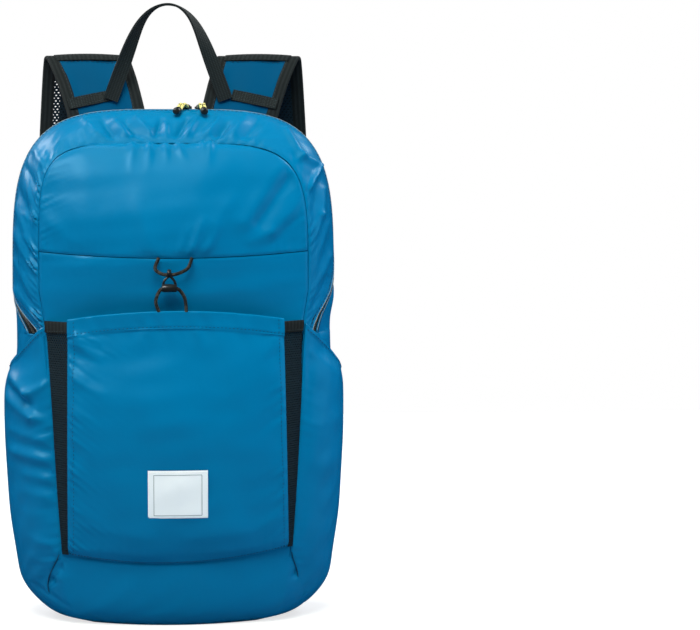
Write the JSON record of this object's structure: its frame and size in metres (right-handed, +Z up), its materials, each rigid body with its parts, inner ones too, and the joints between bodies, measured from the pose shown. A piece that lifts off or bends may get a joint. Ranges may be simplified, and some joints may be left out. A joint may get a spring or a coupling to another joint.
{
  "type": "lightweight backpack",
  "caption": "Soft zipped day pack, stuffed and standing, with a cord-hooked front pocket, net wedges, side pockets, mesh shoulder straps and a webbing haul loop.",
  "frame": {"origin": "under the middle of the whole pack's box, on the surface that it stands on", "axes": "+Z up, -Y out of the front pocket, +Y out of the shoulder straps, +X to the right seen from the front"},
  "size_m": [0.302, 0.221, 0.543],
  "materials": {
    "shell_nylon": "coated ripstop nylon, semi-gloss",
    "webbing": "woven nylon webbing, matt",
    "zip_tape": "coil zip on coated tape",
    "net": "knitted mesh, matt",
    "black_plastic": "moulded, satin",
    "label_cloth": "woven label, blank",
    "yellow_cord": "braided cord with dark flecks",
    "elastic_cord": "covered elastic cord"
  },
  "bodies": {
    "root": {"front_yoke": "shell_nylon", "front_lower": "shell_nylon", "gusset_front": "shell_nylon", "gusset_back": "shell_nylon", "back_panel": "shell_nylon", "base": "shell_nylon", "front_pocket": "shell_nylon", "side_pocket_right": "shell_nylon", "side_pocket_left": "shell_nylon", "strap_yoke_right": "shell_nylon", "strap_yoke_left": "shell_nylon", "main_zip": "zip_tape", "zip_slider_left": "black_plastic", "zip_slider_right": "black_plastic", "pull_cord_left": "yellow_cord", "pull_cord_right": "yellow_cord", "pull_tip_left": "black_plastic", "pull_tip_right": "black_plastic", "net_wedge_right": "net", "net_wedge_left": "net", "net_binding_right": "webbing", "net_binding_left": "webbing", "strap_mesh_right": "net", "strap_mesh_left": "net", "strap_binding_outer_right": "webbing", "strap_binding_outer_left": "webbing", "strap_binding_inner_right": "webbing", "strap_binding_inner_left": "webbing", "strap_bar_right": "webbing", "strap_bar_left": "webbing", "strap_webbing_right": "webbing", "strap_webbing_left": "webbing", "strap_buckle_right": "black_plastic", "strap_buckle_left": "black_plastic", "haul_loop": "webbing", "label": "label_cloth", "upper_loop": "elastic_cord", "lower_loop": "elastic_cord", "cord_hook": "black_plastic"}
  },
  "joints": []
}
